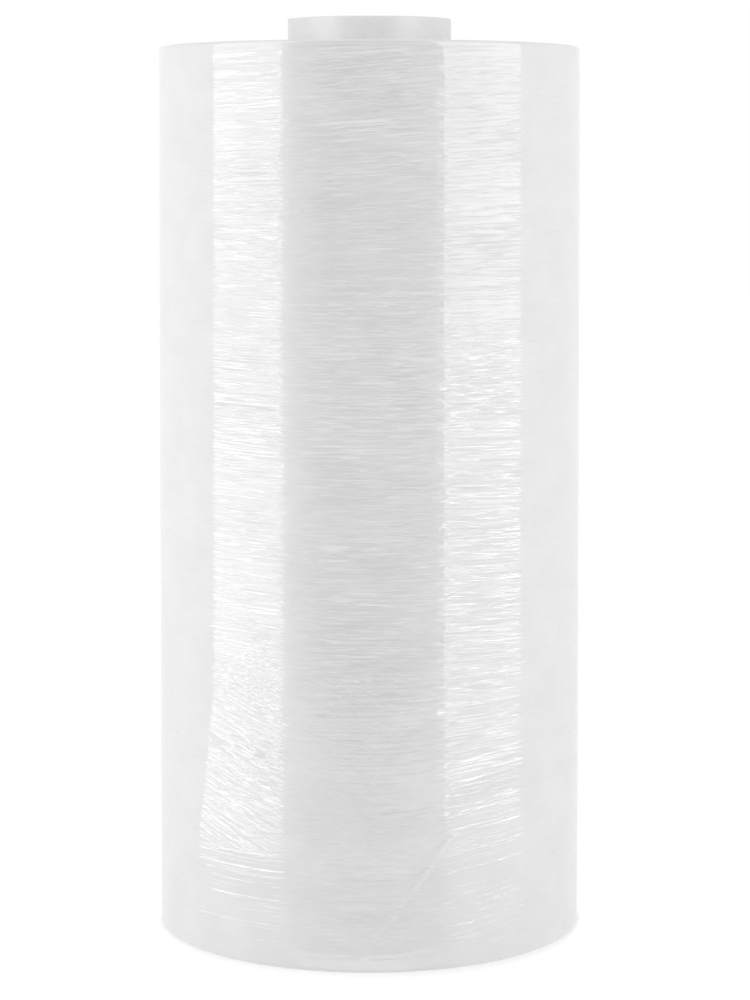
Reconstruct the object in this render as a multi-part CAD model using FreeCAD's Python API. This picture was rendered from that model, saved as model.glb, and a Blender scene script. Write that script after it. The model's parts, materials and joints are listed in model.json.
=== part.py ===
"""A machine roll of stretch wrap film standing on end, in millimetres.

The roll is two pieces. A spirally wound paper tube is the core, and some two kilometres of thin
film is wound round it as one solid cake of turns. The film is flush with the tube's lower end,
and the tube stands proud of the film at the top.

+Z is up the roll's axis, and the origin is the centre of the end that the roll stands on.
"""

import FreeCAD
import Part

import math
import os

# The paper tube
core_bore = 76.2
core_wall = 8.9
core_proud = 16.0
core_edge_break = 0.5

# The wound film
film_width = 508.0
roll_bottom_diameter = 244.8
roll_top_diameter = 241.9
film_rim_round = 2.0

# Soft ridges round the outside, where the turns lie a little thicker or thinner
ridge_count = 6
ridge_depth = 0.3
ridge_least_share = 0.4
ridge_wander = 0.3

# Groups of turns that sit a little deeper than their neighbours in both ends of the film
group_count = 5
group_depth = 0.7
group_slope_width = 0.8
group_wander = 0.25

# How fast the unevenness changes from one ridge or group to the next, in radians
ridge_place_beat = 2.3
ridge_depth_beat = 1.3
group_place_beat = 2.6
group_depth_beat = 1.9

core_outer_radius = core_bore / 2 + core_wall
core_length = film_width + core_proud

PARTS = "parts"
AXIS_BASE = FreeCAD.Vector(0, 0, 0)
AXIS_UP = FreeCAD.Vector(0, 0, 1)
WHOLE_TURN = 360


def on_section(radius, height):
    """A point of the half section that is turned round the axis."""
    return FreeCAD.Vector(radius, 0, height)


def line(start, end):
    return Part.LineSegment(start, end).toShape()


def corner_arc(start, corner, end):
    """The quarter round that starts and ends on the two sides of a square corner."""
    centre = start + end - corner
    middle = centre + (corner - centre) * (1 / math.sqrt(2))
    return Part.Arc(start, middle, end).toShape()


def chain(points):
    """Straight runs through the points, one after the other."""
    return [line(start, end) for start, end in zip(points, points[1:])]


def turned(edges):
    """The solid that a closed section makes when it is turned round the roll's axis."""
    return Part.Face(Part.Wire(edges)).revolve(AXIS_BASE, AXIS_UP, WHOLE_TURN)


def roll_radius(height):
    """The film's outer radius, which draws in towards the top along a gentle curve."""
    taper = (roll_bottom_diameter - roll_top_diameter) / 2
    return roll_bottom_diameter / 2 - taper * (height / film_width) ** 2


def core_tube():
    """The paper tube, with its four cut edges a little broken."""
    blank = Part.makeCylinder(core_outer_radius, core_length)
    tube = blank.cut(Part.makeCylinder(core_bore / 2, core_length))
    cut_edges = [edge for edge in tube.Edges if isinstance(edge.Curve, Part.Circle)]
    return tube.makeChamfer(min(core_edge_break, core_wall / 3), cut_edges)


def group_radius(index):
    """The outer edge of a group of turns, counted outwards from the core."""
    first = core_outer_radius
    last = roll_radius(film_width) - film_rim_round
    spacing = (last - first) / group_count
    shift = group_wander * math.sin(group_place_beat * index) if 0 < index < group_count else 0
    return first + (index + shift) * spacing


def group_recess(index):
    """How deep a group lies below the film's end. The outermost group is the end itself."""
    groups_from_rim = group_count - 1 - index
    return group_depth * math.sin(group_depth_beat * groups_from_rim) ** 2


def film_end():
    """(radius, recess) of the corners of a film end, from the core to the rim."""
    corners = [(core_outer_radius, group_recess(0))]
    for index in range(1, group_count):
        half_slope = group_slope_width / 2
        corners.append((group_radius(index) - half_slope, group_recess(index - 1)))
        corners.append((group_radius(index) + half_slope, group_recess(index)))
    return corners


def film_side():
    """Points up the outside of the film: a crest, a hollow and a crest for each soft ridge."""
    low = film_rim_round
    high = film_width - film_rim_round
    step = (high - low) / (2 * ridge_count)
    points = []
    for index in range(2 * ridge_count + 1):
        inside = 0 < index < 2 * ridge_count
        shift = ridge_wander * math.sin(ridge_place_beat * index) if inside else 0
        height = low + (index + shift) * step
        in_hollow = index % 2
        swing = math.cos(ridge_depth_beat * index) ** 2
        depth = ridge_depth * (ridge_least_share + (1 - ridge_least_share) * swing)
        points.append(on_section(roll_radius(height) - in_hollow * depth, height))
    return points


def film_roll():
    """The wound film, from the core's surface to the outermost turn."""
    side = film_side()
    bottom = [on_section(radius, recess) for radius, recess in film_end()]
    top = [on_section(radius, film_width - recess) for radius, recess in film_end()]
    bottom_rim = on_section(side[0].x, 0)
    top_rim = on_section(side[-1].x, film_width)
    inwards = FreeCAD.Vector(-film_rim_round, 0, 0)
    bottom.append(bottom_rim + inwards)
    top.append(top_rim + inwards)
    edges = chain(bottom)
    edges.append(corner_arc(bottom[-1], bottom_rim, side[0]))
    edges += chain(side)
    edges.append(corner_arc(side[-1], top_rim, top[-1]))
    edges += chain(top[::-1])
    edges.append(line(top[0], bottom[0]))
    return turned(edges)


def main():
    os.makedirs(PARTS, exist_ok=True)
    for name, shape in {"core_tube": core_tube(), "film_roll": film_roll()}.items():
        shape.exportStep(os.path.join(PARTS, name + ".step"))
        print(name, "solids", len(shape.Solids), "valid", shape.isValid(), "mm3", round(shape.Volume))


main()
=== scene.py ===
# %% [markdown]
# # A roll of stretch wrap
# A machine roll is some two kilometres of thin clear film wound on a paper tube. One turn is as
# clear as glass, but thousands of them stacked together look milky white. The outermost turn is
# glossy and full of fine wrinkles that run round the roll. This lesson dresses a fixed frame, which
# is a solid film roll and a solid tube of the right size, with two pieces that look like the real
# ones, and lights them so that two tall lamps show in the gloss as two bright bands.

import json
import math

import bmesh
import bpy
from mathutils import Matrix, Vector, noise

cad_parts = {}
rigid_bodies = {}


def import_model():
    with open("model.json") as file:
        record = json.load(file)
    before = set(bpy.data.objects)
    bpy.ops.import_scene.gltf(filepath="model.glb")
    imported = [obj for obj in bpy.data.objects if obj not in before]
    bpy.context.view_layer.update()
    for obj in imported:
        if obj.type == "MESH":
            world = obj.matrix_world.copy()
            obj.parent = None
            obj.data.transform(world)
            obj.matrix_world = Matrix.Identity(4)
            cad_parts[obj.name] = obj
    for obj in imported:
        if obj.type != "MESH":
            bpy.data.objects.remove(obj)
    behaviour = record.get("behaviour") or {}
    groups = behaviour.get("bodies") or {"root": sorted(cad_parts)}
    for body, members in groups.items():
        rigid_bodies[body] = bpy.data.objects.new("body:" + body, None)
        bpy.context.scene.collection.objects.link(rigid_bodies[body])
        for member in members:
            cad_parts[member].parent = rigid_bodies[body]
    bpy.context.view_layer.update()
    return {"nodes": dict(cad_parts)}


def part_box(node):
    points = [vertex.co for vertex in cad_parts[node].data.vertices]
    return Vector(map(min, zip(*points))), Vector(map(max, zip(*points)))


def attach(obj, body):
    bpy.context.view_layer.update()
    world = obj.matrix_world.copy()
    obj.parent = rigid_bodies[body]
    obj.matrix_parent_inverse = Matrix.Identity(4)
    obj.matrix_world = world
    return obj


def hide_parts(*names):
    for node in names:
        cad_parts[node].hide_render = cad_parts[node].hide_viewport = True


bpy.ops.object.select_all(action="SELECT")
bpy.ops.object.delete()
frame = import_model()

# %% [markdown]
# ## Sizes
# Nothing is guessed twice. The roll's sizes are read from the frame's own solids: their boxes give
# the lengths and the largest radii, and the vertices give the bore, how far the film draws in
# towards its top, and how deep the groups of turns lie in its ends.

# %% Sizes read from the frame
MM = 0.001
PLACES = 5


def radius_of(point):
    """The distance of a point from the roll's axis."""
    return math.hypot(point.x, point.y)


film_points = [vertex.co.copy() for vertex in frame["nodes"]["film_roll"].data.vertices]
core_points = [vertex.co.copy() for vertex in frame["nodes"]["core_tube"].data.vertices]
FILM_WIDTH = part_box("film_roll")[1].z
ROLL_RADIUS = max(radius_of(point) for point in film_points)
CORE_RADIUS = max(radius_of(point) for point in core_points)
BORE_RADIUS = min(radius_of(point) for point in core_points)
CORE_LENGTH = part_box("core_tube")[1].z
RIM_ROUND = 2 * MM
print("film width", round(FILM_WIDTH, 4), "roll radius", round(ROLL_RADIUS, 5))
print("core", round(BORE_RADIUS, 5), round(CORE_RADIUS, 5), round(CORE_LENGTH, 4))

# %% [markdown]
# The two profiles are the corners of the frame's film solid, as pairs of numbers. The side profile
# goes up the outside and the end profile goes from the core to the rim. The mean of a few places
# close together turns the solid's straight facets into the soft swell of wound film.

# %% The profiles of the film's side and of its ends
def profile(pairs):
    """Sorted pairs, with one mean second number for all that share their first."""
    groups = {}
    for first, second in pairs:
        groups.setdefault(round(first, PLACES), []).append(second)
    return [(first, sum(values) / len(values)) for first, values in sorted(groups.items())]


def along(pairs, where):
    """The value of a profile at one place, on the straight line between its two neighbours."""
    if where <= pairs[0][0]:
        return pairs[0][1]
    for (low, low_value), (high, high_value) in zip(pairs, pairs[1:]):
        if where <= high:
            return low_value + (high_value - low_value) * (where - low) / (high - low)
    return pairs[-1][1]


def softly_along(pairs, where, reach):
    """The mean of a profile over a short stretch, which rounds its corners."""
    return sum(along(pairs, where + reach * step / 4) for step in range(-4, 5)) / 9


half_width = FILM_WIDTH / 2
end_points = [point for point in film_points if radius_of(point) < ROLL_RADIUS - 3 * RIM_ROUND]
side_points = [point for point in film_points if radius_of(point) > ROLL_RADIUS - RIM_ROUND
               and RIM_ROUND * 0.99 < point.z < FILM_WIDTH - RIM_ROUND * 0.99]
side_profile = profile((point.z, radius_of(point)) for point in side_points)
end_profile = profile((radius_of(point), half_width - abs(point.z - half_width))
                      for point in end_points)
TOP_RADIUS = side_profile[-1][1]
print("side corners", len(side_profile), "end corners", len(end_profile))
print("top radius", round(TOP_RADIUS, 5))

# %% [markdown]
# ## The camera
# The camera looks at the roll from its front, a little below the film's top edge, so the top end
# is out of sight and the bottom rim shows as a deep bow. It looks down slightly, and a small shift
# keeps the sides nearly parallel.

# %% Camera
CAMERA_PLACE = (3.2 * MM, -1638.6 * MM, 447 * MM)
CAMERA_DOWN = 4.576
CAMERA_LENS = 101.8
CAMERA_SHIFT = -0.12

bpy.ops.object.camera_add(location=CAMERA_PLACE, rotation=(math.radians(90 - CAMERA_DOWN), 0, 0))
camera = bpy.context.object
camera.data.lens = CAMERA_LENS
camera.data.shift_y = CAMERA_SHIFT
bpy.context.scene.camera = camera
print("camera", [round(value, 3) for value in camera.location])

# %% [markdown]
# ## Working by hand, in code
# Each piece starts as a primitive and is shaped with the edit mode's own operators. An operator
# acts on all that is selected, so these helpers first clear the selection and then pick faces or
# edges by where they are.

# %% Helpers for edit mode
def start_piece(name):
    """Names the primitive that was just added and bakes its place into its mesh."""
    piece = bpy.context.object
    piece.name = name
    piece.data.name = name
    bpy.ops.object.transform_apply(location=True, rotation=True, scale=True)
    return piece


def work_on(piece):
    """Makes one piece the only selected one."""
    bpy.ops.object.select_all(action="DESELECT")
    piece.select_set(True)
    bpy.context.view_layer.objects.active = piece


def pick(piece, faces=None, edges=None):
    """In edit mode, selects the faces or the edges that pass the given test."""
    bpy.context.tool_settings.mesh_select_mode = (False, edges is not None, faces is not None)
    bpy.ops.mesh.select_all(action="DESELECT")
    mesh = bmesh.from_edit_mesh(piece.data)
    for element in mesh.faces if faces else mesh.edges:
        element.select_set((faces or edges)(element))
    bmesh.update_edit_mesh(piece.data)


def triangles(piece):
    """How many triangles the piece's mesh makes."""
    return sum(len(polygon.vertices) - 2 for polygon in piece.data.polygons)


# %% [markdown]
# ## The wound film: rims and ends
# On the real roll the film's cut edges lie on each other and make a flat end with rings. A plain
# cylinder is the start. Its two outer edges are bevelled to a small round, and each end face is
# inset again and again towards the core. Every inset is moved in or out by the end profile, with a
# little unevenness added, so that the turns stand in rings as they do on a real roll.

# %% The film's blank with its rims and ends
ROUND_PARTS = 128
RIM_PARTS = 4
RING_COUNT = 26
RING_UNEVEN = 0.12 * MM
RING_BEAT = 0.83
END_BEAT = 7.1
RING_RISE = 0.4
FACES_END = 0.9


def is_whole_end(face):
    """True for a face with as many corners as the roll has sides, which only an end has."""
    return len(face.verts) == ROUND_PARTS


work_on(camera)
bpy.ops.mesh.primitive_cylinder_add(
    vertices=ROUND_PARTS, radius=ROLL_RADIUS, depth=FILM_WIDTH, location=(0, 0, half_width))
film = start_piece("wound_film")
work_on(film)
bpy.ops.object.mode_set(mode="EDIT")
pick(film, edges=lambda edge: abs(edge.verts[0].co.z - edge.verts[1].co.z) < MM)
bpy.ops.mesh.bevel(offset=RIM_ROUND, segments=RIM_PARTS, profile=0.5, affect="EDGES")

ring_width = (ROLL_RADIUS - RIM_ROUND - CORE_RADIUS) / RING_COUNT
for end in (-1, 1):
    depth = 0
    for ring in range(RING_COUNT):
        pick(film, faces=lambda face: is_whole_end(face) and face.normal.z * end > FACES_END)
        radius = ROLL_RADIUS - RIM_ROUND - (ring + 1) * ring_width
        uneven = noise.noise(Vector((RING_BEAT * ring, END_BEAT * end, 0)))
        uneven = uneven * min(1, RING_RISE * ring)
        new_depth = max(0, along(end_profile, radius) + RING_UNEVEN * uneven)
        thickness = ring_width * math.cos(math.pi / ROUND_PARTS)
        bpy.ops.mesh.inset(thickness=thickness, depth=depth - new_depth, use_even_offset=True)
        depth = new_depth
pick(film, faces=is_whole_end)
bpy.ops.mesh.delete(type="FACE")
pick(film, edges=lambda edge: edge.is_boundary)
bpy.ops.mesh.bridge_edge_loops()
bpy.ops.mesh.select_all(action="SELECT")
bpy.ops.mesh.normals_make_consistent(inside=False)
print("film blank", len(bmesh.from_edit_mesh(film.data).faces), "faces")

# %% [markdown]
# ## The wound film: rows for the wrinkles
# Wrinkles that run round the roll are only a few millimetres apart, so the side needs many rows
# and few columns. The long upright edges are subdivided twice, which makes 625 rows. Where the
# film's loose end lies, the edges that run round are subdivided too, because its ragged border
# crosses the rows.

# %% Rows and the finer patch
ROW_PASSES = 2
ROW_CUTS = 24
TAIL_CUTS = 3
TAIL_ANGLE = 19.5
TAIL_LOW_ANGLE = -2.4
TAIL_CORNER_ANGLE = 21.7
TAIL_CORNER_HEIGHT = 75 * MM
TAIL_LOW_HEIGHT = 7 * MM
PATCH_TOP = TAIL_CORNER_HEIGHT + 15 * MM
PATCH_LEFT_ANGLE = TAIL_LOW_ANGLE - 4
PATCH_RIGHT_ANGLE = 27
PATCH_MARGIN_ANGLE = 2.5


def angle_of(point):
    """Degrees round the roll from its front, towards the right as the camera sees it."""
    return math.degrees(math.atan2(point.x, -point.y))


def on_side(point):
    """True on the outside of the film, away from its ends and its hidden inner wall."""
    return radius_of(point) > TOP_RADIUS - 2 * RIM_ROUND


def is_upright(edge):
    low, high = sorted(vertex.co.z for vertex in edge.verts)
    return on_side(edge.verts[0].co) and high - low > 3 * RIM_ROUND


def crosses_tail(edge):
    """True for an edge that runs round the roll where the loose end's border may lie."""
    first, second = (vertex.co for vertex in edge.verts)
    middle = (first + second) / 2
    if abs(first.z - second.z) > 0.1 * MM or not on_side(first):
        return False
    in_low_patch = middle.z < PATCH_TOP and PATCH_LEFT_ANGLE < angle_of(middle) < PATCH_RIGHT_ANGLE
    return in_low_patch or abs(angle_of(middle) - TAIL_ANGLE) < PATCH_MARGIN_ANGLE


for row_pass in range(ROW_PASSES):
    pick(film, edges=is_upright)
    bpy.ops.mesh.subdivide(number_cuts=ROW_CUTS)
pick(film, edges=crosses_tail)
bpy.ops.mesh.subdivide(number_cuts=TAIL_CUTS)
bpy.ops.object.mode_set(mode="OBJECT")
print("film rows", triangles(film), "triangles")

# %% [markdown]
# ## The wound film: its swell and its wrinkles
# The film was wound tight, so its outside swells and draws in with the turns below. Each side
# vertex is moved to the soft side profile, and the top rim is drawn in with it. The wrinkles are
# laid on with Displace modifiers. Their textures are read through an empty that is long and wide
# but very low, so that every wrinkle is stretched round the roll, and the empty is tilted where
# the wrinkles climb. Each modifier has a vertex group that says where its wrinkles lie.

# %% Swell
SWELL_REACH = 12 * MM


def reshape(piece, rule):
    """Moves each side vertex away from the axis by what the rule gives for its angle and height."""
    for vertex in piece.data.vertices:
        point = vertex.co
        if on_side(point) and RIM_ROUND < point.z < FILM_WIDTH - RIM_ROUND:
            scale = 1 + rule(angle_of(point), point.z, radius_of(point)) / radius_of(point)
            point.x *= scale
            point.y *= scale


def swell(angle, height, radius):
    return softly_along(side_profile, height, SWELL_REACH) - radius


RIM_PULL = TOP_RADIUS - ROLL_RADIUS
for vertex in film.data.vertices:
    if vertex.co.z >= FILM_WIDTH - RIM_ROUND and radius_of(vertex.co) > CORE_RADIUS + RIM_ROUND:
        share = (radius_of(vertex.co) - CORE_RADIUS) / (ROLL_RADIUS - CORE_RADIUS)
        scale = 1 + share * RIM_PULL / radius_of(vertex.co)
        vertex.co.x *= scale
        vertex.co.y *= scale
reshape(film, swell)
print("top rim drawn in by", round(-RIM_PULL / MM, 2), "mm")

# %% Where each kind of wrinkle lies
ALL_HEIGHTS = (1 * MM, 8 * MM, FILM_WIDTH - 16 * MM, FILM_WIDTH - 2 * MM)
LEFT_HEIGHTS = (50 * MM, 66 * MM, 130 * MM, 210 * MM)
LEFT_ANGLES = (-75, -55, -20, 5)
RIGHT_HEIGHTS = (60 * MM, 95 * MM, FILM_WIDTH - 190 * MM, FILM_WIDTH - 170 * MM)
RIGHT_ANGLES = (12, 26, 55, 80)
RIGHT_CALM = 0.85
PATCH_NOISE = (-0.45, 0.35)


def ramp(value, low, high):
    """0 below low, 1 above high and a soft rise between, or a fall if low is above high."""
    share = min(1, max(0, (value - low) / (high - low)))
    return share * share * (3 - 2 * share)


def span(value, low, low_full, high_full, high):
    """1 between the two middle values, with a soft way down to 0 on both sides."""
    return ramp(value, low, low_full) * ramp(value, high, high_full)


def everywhere(angle, height):
    """The whole side, fading out at both rims."""
    return span(height, *ALL_HEIGHTS)


def low_left(angle, height):
    """The lower left, where the film was wound askew and its wrinkles run down to the right."""
    return span(height, *LEFT_HEIGHTS) * span(angle, *LEFT_ANGLES)


def lower_right(angle, height):
    """The middle and lower right, with very long and straight wrinkles."""
    return span(height, *RIGHT_HEIGHTS) * span(angle, *RIGHT_ANGLES)


def but_lower_right(angle, height):
    """The whole side, but hardly the zone of the long straight wrinkles."""
    return everywhere(angle, height) * (1 - RIGHT_CALM * lower_right(angle, height))


def patchy(rule, cell, seed):
    """The same rule, thinned out in patches."""
    def thinned(angle, height):
        turn = math.radians(angle)
        place = Vector((math.sin(turn), math.cos(turn), height / ROLL_RADIUS)) * ROLL_RADIUS / cell
        patches = noise.noise(place + Vector((seed, 0, 0)))
        return rule(angle, height) * ramp(patches, *PATCH_NOISE)
    return thinned


def paint_group(piece, name, rule):
    """A vertex group whose weight is what the rule gives for each side vertex."""
    group = piece.vertex_groups.new(name=name)
    for vertex in piece.data.vertices:
        point = vertex.co
        if on_side(point) and RIM_ROUND < point.z < FILM_WIDTH - RIM_ROUND:
            group.add([vertex.index], rule(angle_of(point), point.z), "REPLACE")
    return group.name


# %% Wrinkles
SWELL_HEIGHT = 0.25 * MM
WRINKLE_HEIGHT = 0.14 * MM


def wrinkle(piece, name, length, width, climb, height, rule):
    """One kind of wrinkle: its length round the roll, its width up it, its climb and its height."""
    texture = bpy.data.textures.new(name, "CLOUDS")
    texture.noise_scale = 1
    bpy.ops.object.empty_add(rotation=(0, math.radians(climb), 0), scale=(length, length, width))
    guide = bpy.context.object
    work_on(piece)
    modifier = piece.modifiers.new(name, "DISPLACE")
    modifier.texture = texture
    modifier.texture_coords = "OBJECT"
    modifier.texture_coords_object = guide
    modifier.strength = height
    modifier.mid_level = 0.5
    modifier.vertex_group = paint_group(piece, name, rule)
    before = [radius_of(vertex.co) for vertex in piece.data.vertices]
    bpy.ops.object.modifier_apply(modifier=name)
    moves = [radius_of(vertex.co) - old for vertex, old in zip(piece.data.vertices, before)]
    bpy.data.objects.remove(guide)
    print(name, "moves", round(min(moves) / MM, 3), "to", round(max(moves) / MM, 3), "mm")


swell_zone = patchy(everywhere, 90 * MM, 3)
long_zone = patchy(but_lower_right, 60 * MM, 11)
strong_zone = patchy(lower_right, 45 * MM, 23)
skew_zone = patchy(low_left, 40 * MM, 31)
wrinkle(film, "broad_swells", 60 * MM, 12 * MM, 0, SWELL_HEIGHT, swell_zone)
wrinkle(film, "long_wrinkles", 60 * MM, 3.0 * MM, 0, WRINKLE_HEIGHT, long_zone)
wrinkle(film, "strong_wrinkles", 160 * MM, 3.4 * MM, 2, WRINKLE_HEIGHT, strong_zone)
wrinkle(film, "skew_wrinkles", 16 * MM, 1.9 * MM, 24, WRINKLE_HEIGHT, skew_zone)

# %% [markdown]
# ## The wound film: its loose end
# The last turn ends in an upright cut a little right of the middle. Near the bottom the cut turns
# into a torn slant that runs down to the left, where the film has rolled up into small lumps. The
# film right of this border lies one turn higher, and the step dies away round the roll.

# %% Loose end
TAIL_STEP = 0.07 * MM
TAIL_ROLL = 0.7 * MM
TAIL_ROLL_WIDTH = 2.2 * MM
TAIL_SOFT = 0.4
TAIL_FADE = 60
TAIL_HEIGHTS = (2 * MM, 9 * MM, FILM_WIDTH - 8 * MM, FILM_WIDTH - 2 * MM)
CUT_WANDER = 0.25
CUT_CELL = 6 * MM
SLANT_WANDER = 1.3
SLANT_CELL = 9 * MM
LUMP_LEAST = 0.4
LUMP_ANGLE = 2.6
LUMP_HEIGHT = 4.5 * MM
LUMP_NOISE = (-0.25, 0.45)
TICK_WIDTH = 0.5 * TAIL_ROLL_WIDTH
TICK_SHARE = 0.35
TICK_CELL = 2.5 * MM
TICK_NOISE = (0.0, 0.5)
FILM_SMOOTH_ANGLE = 40


def tail_border(height):
    """The angle of the film's loose border at one height."""
    if height > TAIL_CORNER_HEIGHT:
        return TAIL_ANGLE + CUT_WANDER * noise.noise(Vector((0, 0, height / CUT_CELL)))
    share = (height - TAIL_LOW_HEIGHT) / (TAIL_CORNER_HEIGHT - TAIL_LOW_HEIGHT)
    wander = SLANT_WANDER * noise.noise(Vector((4, 0, height / SLANT_CELL)))
    return TAIL_LOW_ANGLE + (TAIL_CORNER_ANGLE - TAIL_LOW_ANGLE) * share + wander


def off_the_rims(height):
    """0 at both rims of the film and 1 between them."""
    return span(height, *TAIL_HEIGHTS)


def rolled_film(angle, height, radius):
    """How much film is rolled up at a place on the border, from 0 to 1."""
    past = angle - tail_border(height)
    on_slant = height < TAIL_CORNER_HEIGHT
    width = TAIL_ROLL_WIDTH if on_slant else TICK_WIDTH
    distance = math.radians(past) * radius / width
    lumpy = noise.noise(Vector((angle / LUMP_ANGLE, 9, height / LUMP_HEIGHT)))
    lump = LUMP_LEAST + (1 - LUMP_LEAST) * ramp(lumpy, *LUMP_NOISE)
    tick = TICK_SHARE * ramp(noise.noise(Vector((2, 5, height / TICK_CELL))), *TICK_NOISE)
    return off_the_rims(height) * (lump if on_slant else tick) * math.exp(-distance * distance)


def loose_end(angle, height, radius):
    """The step of the last turn, and the rolled-up film along its border."""
    past = angle - tail_border(height)
    step = TAIL_STEP * ramp(past, -TAIL_SOFT, TAIL_SOFT) * ramp(past, TAIL_FADE, 0)
    return off_the_rims(height) * step + TAIL_ROLL * rolled_film(angle, height, radius)


rolled = film.data.attributes.new("rolled", "FLOAT", "POINT")
for vertex in film.data.vertices:
    point = vertex.co
    if on_side(point):
        rolled.data[vertex.index].value = rolled_film(angle_of(point), point.z, radius_of(point))
reshape(film, loose_end)
work_on(film)
bpy.ops.object.shade_smooth_by_angle(angle=math.radians(FILM_SMOOTH_ANGLE))
print("wound film", triangles(film), "triangles")

# %% [markdown]
# ## The paper tube
# The tube is wound too: strips of board are glued on each other in a steep spiral, and the white
# outer strip meets its own edge in a spiral seam. A screw modifier winds it in the same way. One
# upright strip edge, with a small dip at the seam, is turned and lifted by its own height at each
# turn. The ends are then cut square by two bisects, and the wall is closed by bridging.

# %% The tube's two plies
STRIP_WIDTH = 118 * MM
SEAM_DEPTH = 0.18 * MM
SEAM_REACH = 0.9 * MM
EDGE_BREAK = 0.5 * MM
TUBE_PARTS = 96
MERGE_REACH = 0.02 * MM


def spiral_wall(name, radius, inward, first_turn):
    """A wall wound from one strip, open at both ends, with its seam sunk into the paper."""
    bpy.ops.mesh.primitive_plane_add(size=1)
    wall = start_piece(name)
    mesh = bmesh.new()
    low = -STRIP_WIDTH * (1 + first_turn)
    third = STRIP_WIDTH / 3
    steps = [0, SEAM_REACH, third, 2 * third, STRIP_WIDTH - SEAM_REACH, STRIP_WIDTH]
    sunk = radius + (SEAM_DEPTH if inward else -SEAM_DEPTH)
    sides = [sunk, radius, radius, radius, radius, sunk]
    points = [mesh.verts.new((0, -side, low + step)) for side, step in zip(sides, steps)]
    for start, end in zip(points, points[1:]):
        mesh.edges.new((start, end))
    mesh.to_mesh(wall.data)
    mesh.free()
    work_on(wall)
    screw = wall.modifiers.new("winding", "SCREW")
    screw.steps = TUBE_PARTS
    screw.render_steps = TUBE_PARTS
    screw.screw_offset = STRIP_WIDTH
    screw.iterations = math.ceil(CORE_LENGTH / STRIP_WIDTH) + 2
    screw.use_merge_vertices = True
    bpy.ops.object.modifier_apply(modifier="winding")
    bpy.ops.object.mode_set(mode="EDIT")
    bpy.ops.mesh.select_all(action="SELECT")
    bpy.ops.mesh.remove_doubles(threshold=MERGE_REACH)
    bpy.ops.mesh.bisect(plane_co=(0, 0, EDGE_BREAK), plane_no=(0, 0, -1), clear_outer=True)
    bpy.ops.mesh.select_all(action="SELECT")
    top = CORE_LENGTH - EDGE_BREAK
    bpy.ops.mesh.bisect(plane_co=(0, 0, top), plane_no=(0, 0, 1), clear_outer=True)
    bpy.ops.object.mode_set(mode="OBJECT")
    print(name, triangles(wall), "triangles")
    return wall


outer_wall = spiral_wall("paper_core", CORE_RADIUS, inward=False, first_turn=0.35)
inner_wall = spiral_wall("inner_wall", BORE_RADIUS, inward=True, first_turn=0.8)

# %% [markdown]
# The two walls are joined into one mesh. At each end the outer wall's edge is drawn inwards ring
# by ring, once for each layer of board, with the layers a hair higher or lower, as a saw leaves
# them. The last ring is bridged to the inner wall.

# %% The tube's cut ends
PLY_COUNT = 7
PLY_UNEVEN = 0.15 * MM
PLY_BEAT = 1.7
PLY_SEED = 0.4
LOOP_REACH = 0.35 * MM
CORE_SMOOTH_ANGLE = 30


def draw_edge(piece, radius, height, new_radius, new_height):
    """Extrudes the open edge at one radius and height to another radius and height."""
    def here(edge):
        point = edge.verts[0].co
        return (edge.is_boundary and abs(radius_of(point) - radius) < LOOP_REACH
                and abs(point.z - height) < LOOP_REACH)
    pick(piece, edges=here)
    lift = (0, 0, new_height - height)
    bpy.ops.mesh.extrude_region_move(TRANSFORM_OT_translate={"value": lift})
    scale = new_radius / radius
    bpy.ops.transform.resize(value=(scale, scale, 1), center_override=(0, 0, new_height))


work_on(outer_wall)
inner_wall.select_set(True)
bpy.ops.object.join()
core = outer_wall
bpy.ops.object.mode_set(mode="EDIT")
ply = (CORE_RADIUS - BORE_RADIUS - 2 * EDGE_BREAK) / PLY_COUNT
for end, inwards in ((0, 1), (CORE_LENGTH, -1)):
    edge_height = end + inwards * EDGE_BREAK
    draw_edge(core, CORE_RADIUS, edge_height, CORE_RADIUS - EDGE_BREAK, end)
    draw_edge(core, BORE_RADIUS, edge_height, BORE_RADIUS + EDGE_BREAK, end)
    height = end
    for layer in range(1, PLY_COUNT):
        radius = CORE_RADIUS - EDGE_BREAK - layer * ply
        uneven = abs(noise.noise(Vector((PLY_BEAT * layer, end, PLY_SEED))))
        new_height = end + inwards * PLY_UNEVEN * uneven
        draw_edge(core, radius + ply, height, radius, new_height)
        height = new_height
    pick(core, edges=lambda edge: edge.is_boundary and abs(edge.verts[0].co.z - end) < MM)
    bpy.ops.mesh.bridge_edge_loops()
bpy.ops.mesh.select_all(action="SELECT")
bpy.ops.mesh.normals_make_consistent(inside=False)
bpy.ops.object.mode_set(mode="OBJECT")
bpy.ops.object.shade_smooth_by_angle(angle=math.radians(CORE_SMOOTH_ANGLE))
print("paper core", triangles(core), "triangles")

# %% [markdown]
# ## Writing a material as sums
# Procedural materials are sums and products of textures. This small class wraps one output socket,
# so that plain Python such as 1 - mask or 0.3 * lines adds the Math nodes by itself. Any other
# node comes from its method node, which takes the node's settings and the values of its sockets.

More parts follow.
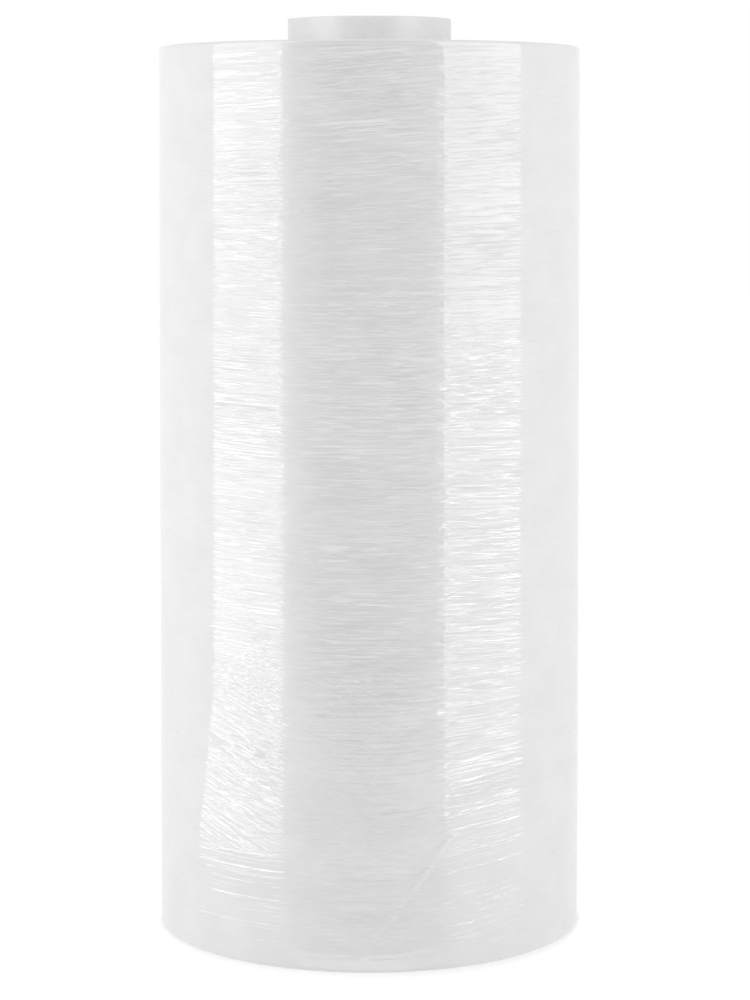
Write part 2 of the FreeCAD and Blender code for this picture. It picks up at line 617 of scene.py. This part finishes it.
# %% The socket class
class Wire:
    """An output socket that Python can count with."""

    def __init__(self, tree, socket=None):
        self.tree = tree
        self.socket = socket

    def node(self, kind, settings, inputs, output=0):
        """Adds a node, sets it up, fills its sockets and returns one of its outputs."""
        made = self.tree.nodes.new(kind)
        for name, value in settings.items():
            setattr(made, name, value)
        for name, value in inputs.items():
            if isinstance(value, Wire):
                self.tree.links.new(value.socket, made.inputs[name])
            else:
                made.inputs[name].default_value = value
        return Wire(self.tree, made.outputs[output] if made.outputs else None)

    def math(self, operation, *values):
        return self.node("ShaderNodeMath", {"operation": operation}, dict(enumerate(values)))

    def __add__(self, other):
        return self.math("ADD", self, other)

    def __radd__(self, other):
        return self.math("ADD", other, self)

    def __sub__(self, other):
        return self.math("SUBTRACT", self, other)

    def __rsub__(self, other):
        return self.math("SUBTRACT", other, self)

    def __mul__(self, other):
        return self.math("MULTIPLY", self, other)

    def __rmul__(self, other):
        return self.math("MULTIPLY", other, self)

    def __truediv__(self, other):
        return self.math("DIVIDE", self, other)

    def __abs__(self):
        return self.math("ABSOLUTE", self)

    def ramp(self, low, high):
        """0 below low, 1 above high and a soft rise between, or a fall if low is above high."""
        ends = {"From Min": low, "From Max": high, "Value": self}
        return self.node("ShaderNodeMapRange", {"interpolation_type": "SMOOTHSTEP"}, ends)

    def between(self, first, second):
        """The colour between two colours, by this share."""
        return self.node("ShaderNodeMix", {"data_type": "RGBA"}, {0: self, 6: first, 7: second}, 2)

    def noise(self, detail=2.0, roughness=0.5):
        """A cloudy pattern from 0 to 1 at this place, with cells about one unit wide."""
        inputs = {"Vector": self, "Scale": 1.0, "Detail": detail, "Roughness": roughness}
        return self.node("ShaderNodeTexNoise", {}, inputs)

    def stretched(self, length, width, climb=0, shift=0):
        """This place, measured in cells that are length long and wide, and width high."""
        settings = {"vector_type": "TEXTURE"}
        turn = (0, math.radians(climb), 0)
        size = (length, length, width)
        inputs = {"Vector": self, "Location": (shift, 0, 0), "Rotation": turn, "Scale": size}
        return self.node("ShaderNodeMapping", settings, inputs)

    def leaning(self, amount, detail=1.0):
        """Noise from -0.5 to 0.5 whose upper sides are steeper, because it shifts its own place."""
        upright = self.noise(detail=detail) - 0.5
        shift = self.node("ShaderNodeCombineXYZ", {}, {"Z": -amount * upright})
        shifted = self.node("ShaderNodeVectorMath", {"operation": "ADD"}, {0: self, 1: shift})
        return shifted.noise(detail=detail) - 0.5

    def part(self, name):
        """One coordinate of this place."""
        return self.node("ShaderNodeSeparateXYZ", {}, {"Vector": self}, name)

    def from_axis(self):
        """The distance of this place from the roll's axis."""
        squared = self.part("X") * self.part("X") + self.part("Y") * self.part("Y")
        return squared.math("SQRT", squared)


def new_material(name):
    """An empty material, and the Object coordinates of its nodes."""
    material = bpy.data.materials.new(name)
    material.use_nodes = True
    material.node_tree.nodes.clear()
    pen = Wire(material.node_tree)
    return material, pen.node("ShaderNodeTexCoord", {}, {}, "Object")


def coat_with(place, shader, height=None):
    """Finishes a material: a Principled shader with these sockets, and a bump in millimetres."""
    if height is not None:
        bumps = {"Height": height, "Strength": 1.0, "Distance": MM}
        shader = shader | {"Normal": place.node("ShaderNodeBump", {}, bumps)}
    surface = place.node("ShaderNodeBsdfPrincipled", {}, shader)
    place.node("ShaderNodeOutputMaterial", {}, {"Surface": surface})


# %% [markdown]
# ## The film's side
# A stack of clear film sends back far more of a reflection than one sheet, so its gloss is strong
# and sharp, over a milky white body. What makes it look like film is its wrinkles. The mesh holds
# the wide ones and this bump holds the fine ones, a few millimetres apart or less. All are noise
# read through coordinates that are stretched round the roll. The two main kinds lean, as film does
# where it slips. Long straight ribs lie where the lamps are mirrored, and a hatch on the lower left
# runs down to the right.

# %% Zones of the film's side
ASKEW_HEIGHTS = (60 * MM, 66 * MM, 130 * MM, 190 * MM)
ASKEW_FRONT_SIDE = (20 * MM, 0.0)
ASKEW_LEFT_SIDE = (-44 * MM, -54 * MM)
ASKEW_FRONT_SHARE = 0.35
LEFT_RIB_FROM = (110 * MM, 140 * MM)
LEFT_RIB_SIDE = (-40 * MM, -52 * MM)
RIGHT_RIB_HEIGHTS = (60 * MM, 80 * MM, 290 * MM, 330 * MM)
RIGHT_RIB_SIDE = (30 * MM, 45 * MM)
FOOT_HEIGHTS = (8 * MM, 18 * MM, 40 * MM, 52 * MM)
FOOT_SIDES = (40 * MM, 52 * MM, 84 * MM, 98 * MM)
TOP_CLIMB = 0.07
TOP_CLIMB_FROM = (380 * MM, 430 * MM)
LOW_CLIMB = 0.12
LOW_CLIMB_BELOW = (190 * MM, 90 * MM)
LOW_CLIMB_SIDE = (0.0, 60 * MM)


def from_to(value, low, low_full, high_full, high):
    """1 between the two middle values, with a soft way down to 0 on both sides."""
    return value.ramp(low, low_full) * value.ramp(high, high_full)


def askew_zone(height, side):
    """The lower left, where the film was wound askew, and more weakly the front beside it."""
    front = ASKEW_FRONT_SHARE * side.ramp(*ASKEW_FRONT_SIDE)
    left = (1 - ASKEW_FRONT_SHARE) * side.ramp(*ASKEW_LEFT_SIDE)
    return from_to(height, *ASKEW_HEIGHTS) * (front + left)


def left_rib_zone(height, side):
    """Where the left lamp is mirrored, above the askew film."""
    return height.ramp(*LEFT_RIB_FROM) * side.ramp(*LEFT_RIB_SIDE)


def right_rib_zone(height, side):
    """The middle heights, where the right lamp is mirrored."""
    return from_to(height, *RIGHT_RIB_HEIGHTS) * side.ramp(*RIGHT_RIB_SIDE)


def foot_zone(height, side):
    """The right of the foot, where a few broad wrinkles rise to the right."""
    return from_to(height, *FOOT_HEIGHTS) * from_to(side, *FOOT_SIDES)


def climbing(place, height, side):
    """The place, tilted where the wrinkles climb: near the top, and low on the right."""
    climb = TOP_CLIMB * height.ramp(*TOP_CLIMB_FROM)
    climb = climb + LOW_CLIMB * height.ramp(*LOW_CLIMB_BELOW) * side.ramp(*LOW_CLIMB_SIDE)
    lift = place.node("ShaderNodeCombineXYZ", {}, {"Z": -1 * side * climb})
    return place.node("ShaderNodeVectorMath", {"operation": "ADD"}, {0: place, 1: lift})


# %% [markdown]
# Each kind of fine wrinkle is a noise of its own, with the length and the width of its cells and,
# where it has one, its climb in degrees. The kinds are weighed by their zones and summed up. The
# sum is in millimetres, and no wrinkle is higher than a few tenths of one.

# %% Fine wrinkles of the film's side
FINE_SIZE = (46 * MM, 1.6 * MM)
LONG_SIZE = (80 * MM, 3.0 * MM)
RIB_SIZE = (150 * MM, 1.6 * MM)
FRONT_SIZE = (50 * MM, 1.6 * MM)
HATCH_SIZE = (22 * MM, 1.25 * MM)
WING_SIZE = (26 * MM, 2.6 * MM)
STREAK_SIZE = (20 * MM, 2.2 * MM)
PATCH_SIZE = (45 * MM, 28 * MM)
FINE_HEIGHT = 0.14
LONG_HEIGHT = 0.36
LEFT_RIB_HEIGHT = 0.26
RIGHT_RIB_HEIGHT = 0.30
FRONT_HEIGHT = 0.12
HATCH_HEIGHT = 0.20
WING_HEIGHT = 0.5
STREAK_HEIGHT = 0.09
RIB_CLIMB = 2
HATCH_CLIMB = 22
WING_CLIMB = -10
STREAK_CLIMB = -3
STREAK_NOISE = (0.66, 0.74)
CALM_NOISE = (0.35, 0.60)
CALM_LEAST = 0.75
FRONT_SIDES = (-50 * MM, -47 * MM, 42 * MM, 45 * MM)
ABOVE_FOOT = (48 * MM, 70 * MM)
LONG_LOSS = 0.06
FRONT_LOSS = 0.4
LEFT_RIB_LOSS = 0.6
RIGHT_RIB_LOSS = 0.85
ASKEW_LOSS = 0.9
MIDDLE_HEIGHTS = (0.0, 8 * MM, FILM_WIDTH - 16 * MM, FILM_WIDTH)


def straight(place, size, climb=0, shift=0):
    """Plain wrinkles from -0.5 to 0.5."""
    return place.stretched(*size, climb, shift).noise(detail=0.0) - 0.5


def film_relief(place):
    """The height of the fine wrinkles in millimetres."""
    height = place.part("Z")
    side = place.part("X")
    bent = climbing(place, height, side)
    fine = bent.stretched(*FINE_SIZE).leaning(1.0)
    long = bent.stretched(*LONG_SIZE, shift=1).leaning(1.0)
    ribs = straight(bent, RIB_SIZE, RIB_CLIMB, shift=10)
    front_lines = straight(bent, FRONT_SIZE, shift=8)
    hatch = straight(place, HATCH_SIZE, HATCH_CLIMB, shift=3)
    wing = straight(place, WING_SIZE, WING_CLIMB, shift=9)
    streaks = 0.5 + straight(place, STREAK_SIZE, STREAK_CLIMB, shift=7)
    calm = place.stretched(*PATCH_SIZE, shift=4).noise(detail=1.0).ramp(*CALM_NOISE)

    front = from_to(side, *FRONT_SIDES)
    above_foot = height.ramp(*ABOVE_FOOT)
    left = left_rib_zone(height, side)
    right = right_rib_zone(height, side)
    askew = askew_zone(height, side)
    strong = (CALM_LEAST + (1 - CALM_LEAST) * calm) * (1 - FRONT_LOSS * front)
    wrinkles = FINE_HEIGHT * (1 + above_foot) * fine + (LONG_HEIGHT - LONG_LOSS * above_foot) * long
    wrinkles = strong * wrinkles * (1 - LEFT_RIB_LOSS * left - RIGHT_RIB_LOSS * right)
    wrinkles = wrinkles + (LEFT_RIB_HEIGHT * left + RIGHT_RIB_HEIGHT * right) * ribs
    relief = (1 - ASKEW_LOSS * askew) * wrinkles + STREAK_HEIGHT * streaks.ramp(*STREAK_NOISE)
    relief = from_to(height, *MIDDLE_HEIGHTS) * (relief + FRONT_HEIGHT * front * front_lines)
    relief = relief + HATCH_HEIGHT * askew * hatch
    return relief + WING_HEIGHT * foot_zone(height, side) * wing


# %% Material of the film's side
MILKY = (0.80, 0.80, 0.80, 1)
CLEARER = (0.76, 0.76, 0.76, 1)
CRUMPLED = (0.808, 0.808, 0.808, 1)
FILM_IOR = 1.66
FILM_ROUGHNESS = 0.035


def film_side():
    """Milky and glossy, a little lighter where the loose end has rolled up."""
    material, place = new_material("film_side")
    blotches = place.stretched(26 * MM, 18 * MM, shift=5).noise(detail=3.0)
    rolled = place.node("ShaderNodeAttribute", {"attribute_name": "rolled"}, {}, "Fac")
    body = blotches.ramp(0.25, 0.75).between(CLEARER, MILKY)
    coat_with(place, {
        "Base Color": rolled.ramp(0.15, 0.7).between(body, CRUMPLED),
        "Roughness": FILM_ROUGHNESS + 0.04 * blotches,
        "IOR": FILM_IOR,
        "Specular IOR Level": 1.0,
    }, film_relief(place))
    return material


# %% [markdown]
# ## The film's ends
# The ends show the cut edges of every turn. They are duller than the side and a little greyer,
# because the eye looks along the film. Rings come from noise read by the radius alone, in a few
# scales, and soft clouds break them up round the roll.

# %% Material of the film's ends
EDGE_LIGHT = (0.80, 0.80, 0.80, 1)
EDGE_DARK = (0.62, 0.63, 0.64, 1)
CLOUD_SIZE = (30 * MM, 30 * MM)
RING_WAVE = 0.6 * MM
FINE_RING = 0.5 * MM
BROAD_RING = 4 * MM


def rings(place, radius, width, detail):
    """Rings round the axis, each about as wide as given."""
    inputs = {"W": radius / width, "Scale": 1.0, "Detail": detail}
    return place.node("ShaderNodeTexNoise", {"noise_dimensions": "1D"}, inputs)


def film_ends():
    """Rings of turns that are a little lighter or darker."""
    material, place = new_material("film_ends")
    radius = place.from_axis()
    clouds = place.stretched(*CLOUD_SIZE).noise(detail=3.0)
    wavy = radius + RING_WAVE * clouds
    fine = rings(place, wavy, FINE_RING, 2.0)
    broad = rings(place, wavy, BROAD_RING, 1.0)
    tint = (0.55 * fine + 0.5 * broad + 0.25 * clouds - 0.15).ramp(0.25, 0.75)
    coat_with(place, {
        "Base Color": tint.between(EDGE_DARK, EDGE_LIGHT),
        "Roughness": 0.28 + 0.25 * fine,
        "IOR": 1.5,
        "Specular IOR Level": 0.7,
    }, 0.10 * fine + 0.12 * broad)
    return material


# %% [markdown]
# ## Paper
# The tube's outside is a smooth white paper with a faint mottle and short fibres. Its bore and
# its cut ends show the grey board below. The cut ends have a dark glue line between the layers.

# %% Materials of the tube
WHITE_PAPER = (0.89, 0.89, 0.885, 1)
WHITE_PAPER_DARK = (0.82, 0.82, 0.81, 1)
BOARD = (0.50, 0.47, 0.43, 1)
BOARD_DARK = (0.36, 0.335, 0.30, 1)
PAPER_MOTTLE = (9 * MM, 9 * MM)
PAPER_FIBRE = (1.1 * MM, 0.35 * MM)
PAPER_FIBRE_CLIMB = 20
BOARD_MOTTLE = (5 * MM, 5 * MM)
BOARD_FIBRE = (1.6 * MM, 0.5 * MM)
BOARD_FIBRE_CLIMB = 25
LAYER_WANDER = 0.12
GLUE_LINE = (0.38, 0.48)


def paper_outside():
    """White paper with a faint mottle and short fibres."""
    material, place = new_material("white_paper")
    mottle = place.stretched(*PAPER_MOTTLE).noise(detail=3.0)
    fibres = place.stretched(*PAPER_FIBRE, PAPER_FIBRE_CLIMB).noise(detail=2.0)
    tint = (0.7 * mottle + 0.5 * fibres - 0.1).ramp(0.25, 0.8)
    coat_with(place, {
        "Base Color": tint.between(WHITE_PAPER_DARK, WHITE_PAPER),
        "Roughness": 0.30 + 0.12 * fibres,
        "IOR": 1.55,
        "Specular IOR Level": 1.0,
    }, 0.04 * fibres + 0.03 * mottle)
    return material


def grey_board():
    """Grey board, with dark glue lines between the layers."""
    material, place = new_material("grey_board")
    radius = place.from_axis()
    mottle = place.stretched(*BOARD_MOTTLE).noise(detail=4.0)
    fibres = place.stretched(*BOARD_FIBRE, BOARD_FIBRE_CLIMB).noise(detail=3.0)
    layers = (radius - BORE_RADIUS - EDGE_BREAK) / ply + LAYER_WANDER * mottle
    glue = abs(layers.math("FRACT", layers) - 0.5).ramp(*GLUE_LINE)
    tint = (0.6 * mottle + 0.6 * fibres - 0.1 - 0.5 * glue).ramp(0.2, 0.8)
    coat_with(place, {
        "Base Color": tint.between(BOARD_DARK, BOARD),
        "Roughness": 0.8 + 0.1 * fibres,
        "Specular IOR Level": 0.3,
    }, 0.08 * fibres + 0.05 * mottle)
    return material


# %% [markdown]
# Each piece gets two materials as slots. The faces of its ends and of its inside lie nearer the
# axis than those of its outside, so they are picked by their distance and given the second one.

# %% Finishes on the pieces
def finish_piece(piece, first, second, in_second):
    """Gives a piece two materials, the second one on the faces for which the test is true."""
    piece.data.materials.clear()
    piece.data.materials.append(first)
    piece.data.materials.append(second)
    for polygon in piece.data.polygons:
        polygon.material_index = int(in_second(polygon))
    count = sum(polygon.material_index for polygon in piece.data.polygons)
    print(piece.name, "faces in the second finish", count)


film_inside = ROLL_RADIUS - 1.6 * RIM_ROUND
finish_piece(film, film_side(), film_ends(), lambda face: radius_of(face.center) < film_inside)
outside = CORE_RADIUS - 0.6 * EDGE_BREAK
finish_piece(core, paper_outside(), grey_board(), lambda face: radius_of(face.center) < outside)

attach(film, "root")
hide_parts("film_roll")
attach(core, "root")
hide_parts("core_tube")

# %% [markdown]
# ## The studio: what the film mirrors
# The film shows what stands round the roll. Two tall lamps left and right of the camera make the
# two bright bands, and a dark screen with dark mats before it makes the grey middle. All of these
# are glowing sheets that only reflections see. They have level strips of light, because a wrinkle
# shows as a line where it tilts the mirrored view from a dull strip to a bright one.

# %% Glowing sheets
STRIP_BLUR = 0.08
LINE_BLUR = 0.1
MAT_LIFT = 0.5 * MM


def sheet(name, corners, strength, mirrored):
    """A glowing sheet that shows only in reflections, or else only lights matt surfaces."""
    bpy.ops.mesh.primitive_plane_add(size=1)
    piece = start_piece(name)
    for vertex, corner in zip(piece.data.vertices, corners):
        vertex.co = corner
    material, place = new_material(name)
    glow = place.node("ShaderNodeEmission", {}, {"Strength": strength(place)})
    place.node("ShaderNodeOutputMaterial", {}, {"Surface": glow})
    piece.data.materials.append(material)
    piece.visible_camera = False
    piece.visible_shadow = False
    piece.visible_glossy = mirrored
    piece.visible_diffuse = not mirrored
    print(name, [[round(value, 3) for value in corner] for corner in corners])


def upright(near, far, height):
    """The corners of a sheet that stands on the floor between two places."""
    return [(*near, 0), (*far, 0), (*near, height), (*far, height)]


def flat(corners):
    """The corners of a sheet that lies just above the floor."""
    return [(*corner, MAT_LIFT) for corner in corners]


def strips(place, width, seed, least):
    """Level strips from 0 to 1, each about as wide as given, and fewer of them if least is high."""
    inputs = {"W": place.part("Z") / width + seed, "Scale": 1.0, "Detail": 0.0}
    wave = place.node("ShaderNodeTexNoise", {"noise_dimensions": "1D"}, inputs)
    return wave.ramp(least - STRIP_BLUR, least + STRIP_BLUR)


def peaks(place, spacing, least):
    """Thin level lines from 0 to 1 at regular heights."""
    wave = place.math("SINE", place.part("Z") * (2 * math.pi / spacing))
    return wave.ramp(least - LINE_BLUR, least + LINE_BLUR)


# %% [markdown]
# The left lamp is a little duller than the room, with brighter strips and thin bright lines. The
# edge that is nearer the camera is ragged. The other edge lies further from the camera near the
# floor, so that the left band is wider at its foot.

# %% The left lamp
LAMP_HEIGHT = 950 * MM
LEFT_LAMP = ((-225 * MM, -306 * MM), (-379 * MM, -4 * MM))
LEFT_DIM = 0.95
LEFT_BRIGHT = 1.7
LEFT_STRIP = 26 * MM
LEFT_STRIP_LEAST = 0.48
LEFT_SHINE = 2.5
LEFT_LINE = 38 * MM
LEFT_LINE_LEAST = 0.85
LEFT_EDGE = -75 * MM
LEFT_EDGE_DRIFT = 71 * MM
DRIFT_FROM = 120 * MM
DRIFT_TO = -10 * MM
EDGE_BLUR = 2 * MM
RAGGED_DEPTH = 40 * MM
RAGGED_CELL = 9 * MM
RAGGED_BLUR = 4 * MM


def left_strength(place):
    """Strips and lines of light between the lamp's two edges, and the room's white past them."""
    drift = place.part("Z").ramp(DRIFT_FROM, DRIFT_TO)
    far_edge = LEFT_EDGE + LEFT_EDGE_DRIFT * drift
    ragged = place.stretched(RAGGED_CELL, RAGGED_CELL, shift=5).noise(detail=0.0)
    near_edge = LEFT_LAMP[0][1] + RAGGED_DEPTH * ragged
    inside = (far_edge - place.part("Y")).ramp(-EDGE_BLUR, EDGE_BLUR)
    inside = inside * (place.part("Y") - near_edge).ramp(0.0, RAGGED_BLUR)
    broad = (LEFT_BRIGHT - LEFT_DIM) * strips(place, LEFT_STRIP, 1, LEFT_STRIP_LEAST)
    lines = LEFT_SHINE * peaks(place, LEFT_LINE, LEFT_LINE_LEAST)
    return 1 + inside * (LEFT_DIM - 1 + broad + lines)


# %% [markdown]
# The right lamp has thin, very bright lines in its lower part and broad strips above, where the
# film is smoother and looks glassier.

# %% The right lamp
RIGHT_LAMP = ((251 * MM, -390 * MM), (431 * MM, -92 * MM))
RIGHT_DIM = 0.78
RIGHT_BRIGHT = 5.2
RIGHT_BRIGHT_FROM = 0 * MM
RIGHT_BRIGHT_BLUR = 30 * MM
RIGHT_LINE = 41 * MM
RIGHT_LINE_LEAST = 0.86
RIGHT_GLASSY = 2.0
RIGHT_GLASSY_FROM = 320 * MM
RIGHT_GLASSY_BLUR = 20 * MM
RIGHT_STRIP = 36 * MM
RIGHT_STRIP_LEAST = 0.45


def rising(place, height, blur):
    """0 below a height and 1 above it, with a soft change round it."""
    return place.part("Z").ramp(height - blur, height + blur)


def right_strength(place):
    """Thin bright lines below, and broad strips in the glassier part above."""
    high = rising(place, RIGHT_BRIGHT_FROM, RIGHT_BRIGHT_BLUR)
    glassy = rising(place, RIGHT_GLASSY_FROM, RIGHT_GLASSY_BLUR)
    lines = high * (1 - glassy) * peaks(place, RIGHT_LINE, RIGHT_LINE_LEAST)
    broad = glassy * strips(place, RIGHT_STRIP, 4, RIGHT_STRIP_LEAST)
    return RIGHT_DIM + (RIGHT_BRIGHT - RIGHT_DIM) * lines + (RIGHT_GLASSY - RIGHT_DIM) * broad


# %% [markdown]
# The screen stands in front of the roll and the mats lie on the floor between them. Both are
# darkest straight ahead of the roll and fade to the room's white towards the sides, so the grey
# middle has no hard border. The fade follows straight lines that fan out from one place inside
# the roll.

# %% The dark screen and the dark mats
SCREEN_HEIGHT = 1300 * MM
MAT_NEAR = ((-46 * MM, -113 * MM), (40 * MM, -115 * MM))
SCREEN_FAR = ((-492 * MM, -550 * MM), (404 * MM, -550 * MM))
RIGHT_MAT_NEAR = (75 * MM, -97 * MM)
RIGHT_MAT_FAR = (500 * MM, -280 * MM)
SCREEN_DEPTH = 0.8
SCREEN_CONTRAST = 1.9
SCREEN_STRIP = 32 * MM
MAT_DEPTH = 0.36
MAT_CONTRAST = 3.0
MAT_STRIP = 30 * MM
MAT_NEAR_SHARE = 0.35
MAT_FADE = (115 * MM, 200 * MM)
FAN_APEX = 68 * MM
FAN_LEFT = (-1.35, -0.05)
FAN_RIGHT = (1.6, 0.0)
FAN_STRIP_MEAN = 0.35
FAN_STRIP_LEAST = 0.54


def fan_strength(place, depth, contrast, width):
    """Darkest straight ahead of the roll, white towards both sides, with lighter strips across."""
    fan = place.part("X") / (0 - place.part("Y") - FAN_APEX)
    out = place.node("ShaderNodeCombineXYZ", {}, {"Z": place.part("Z") - place.part("Y")})
    lines = 1 + contrast * (FAN_STRIP_MEAN - strips(out, width, 3, FAN_STRIP_LEAST))
    level = 1 - depth * fan.ramp(*FAN_LEFT) * fan.ramp(*FAN_RIGHT) * lines
    return level.math("MAXIMUM", level, 0.0)


def screen_strength(place):
    return fan_strength(place, SCREEN_DEPTH, SCREEN_CONTRAST, SCREEN_STRIP)


def mat_strength(place):
    """As the screen's, but weaker, and weakest close to the roll."""
    share = (0 - place.part("Y")).ramp(*MAT_FADE)
    depth = MAT_DEPTH * (MAT_NEAR_SHARE + (1 - MAT_NEAR_SHARE) * share)
    return fan_strength(place, depth, MAT_CONTRAST, MAT_STRIP)


# %% [markdown]
# A second pair of sheets stands in the lamps' places and lights the matt surfaces only. They are
# plain, so the milky body stays even while the gloss shows the strips.

# %% Setting up the sheets
SOFT_LIGHT = 1.3


def even_strength(place):
    return SOFT_LIGHT


work_on(film)
left_corners = upright(*LEFT_LAMP, LAMP_HEIGHT)
right_corners = upright(*RIGHT_LAMP, LAMP_HEIGHT)
right_mat_corners = (MAT_NEAR[1], RIGHT_MAT_NEAR, SCREEN_FAR[1], RIGHT_MAT_FAR)
sheet("lamp_left", left_corners, left_strength, True)
sheet("lamp_right", right_corners, right_strength, True)
sheet("light_left", left_corners, even_strength, False)
sheet("light_right", right_corners, even_strength, False)
sheet("front_screen", upright(*SCREEN_FAR, SCREEN_HEIGHT), screen_strength, True)
sheet("front_mat", flat(MAT_NEAR + SCREEN_FAR), mat_strength, True)
sheet("right_mat", flat(right_mat_corners), mat_strength, True)

# %% [markdown]
# ## The studio: floor and room
# The roll stands on a matt white floor that keeps its soft shadow. The floor also glows a little,
# so that it is as white as the room behind it, but less close beside the roll. There the lower glow
# leaves a narrow grey rim, which is painted shadow over the real soft shadow and is widest in front
# of and behind the roll. In reflections the floor is plain white. The room lights everything
# evenly.

# %% Floor
FLOOR_SIZE = 14
FLOOR_PAINT = (0.66, 0.66, 0.66, 1)
FLOOR_LIGHT = 0.30
# The glow is lower in a narrow rim beside the roll, which paints a shadow there.
GLOW_IN_PAINTED_SHADOW = 0.38
GLOW_FAR = 0.60
PAINTED_SHADOW_LEAST = 3 * MM
PAINTED_SHADOW_MORE = 34 * MM
PAINTED_SHADOW_FADE = (-0.1, 1.0)


def ray_is(place, kind):
    """1 for rays of one kind and 0 for all others."""
    return place.node("ShaderNodeLightPath", {}, {}, "Is " + kind + " Ray")


def floor_glow_with_painted_shadow(place):
    """How much the camera sees the floor glow: less in a rim of painted shadow, widest front and
    back.
    """
    squared = place.part("X") * place.part("X") + place.part("Y") * place.part("Y")
    painted_shadow_width = PAINTED_SHADOW_LEAST + PAINTED_SHADOW_MORE * place.part("Y") * place.part("Y") / squared
    gap = place.from_axis() - ROLL_RADIUS
    return GLOW_IN_PAINTED_SHADOW + (GLOW_FAR - GLOW_IN_PAINTED_SHADOW) * (gap / painted_shadow_width).ramp(*PAINTED_SHADOW_FADE)


bpy.ops.mesh.primitive_plane_add(size=FLOOR_SIZE)
floor = start_piece("floor")
material, place = new_material("floor")
paint = place.node("ShaderNodeBsdfDiffuse", {}, {"Color": FLOOR_PAINT})
strength = FLOOR_LIGHT + (floor_glow_with_painted_shadow(place) - FLOOR_LIGHT) * ray_is(place, "Camera")
glow = place.node("ShaderNodeEmission", {}, {"Strength": strength})
lit = place.node("ShaderNodeAddShader", {}, {0: paint, 1: glow})
white = place.node("ShaderNodeEmission", {}, {"Strength": 1.0})
mirrored = ray_is(place, "Glossy") + ray_is(place, "Transmission")
floor_look = place.node("ShaderNodeMixShader", {}, {0: mirrored, 1: lit, 2: white})
place.node("ShaderNodeOutputMaterial", {}, {"Surface": floor_look})
floor.data.materials.append(material)
print("floor", FLOOR_SIZE, "m square,", len(material.node_tree.nodes), "nodes")

# %% Room
ROOM_LIGHT = 0.72

world = bpy.data.worlds.new("white_room")
bpy.context.scene.world = world
world.use_nodes = True
world.node_tree.nodes.clear()
pen = Wire(world.node_tree)
shown = ray_is(pen, "Camera") + ray_is(pen, "Glossy") + ray_is(pen, "Transmission")
strength = ROOM_LIGHT + (1 - ROOM_LIGHT) * shown
white = pen.node("ShaderNodeBackground", {}, {"Color": (1, 1, 1, 1), "Strength": strength})
pen.node("ShaderNodeOutputWorld", {}, {"Surface": white})
print("room", len(world.node_tree.nodes), "nodes")

# %% [markdown]
# ## Finish
# The view is set to Standard, so that a colour shows as it is written.

# %% View transform
bpy.context.scene.view_settings.view_transform = "Standard"
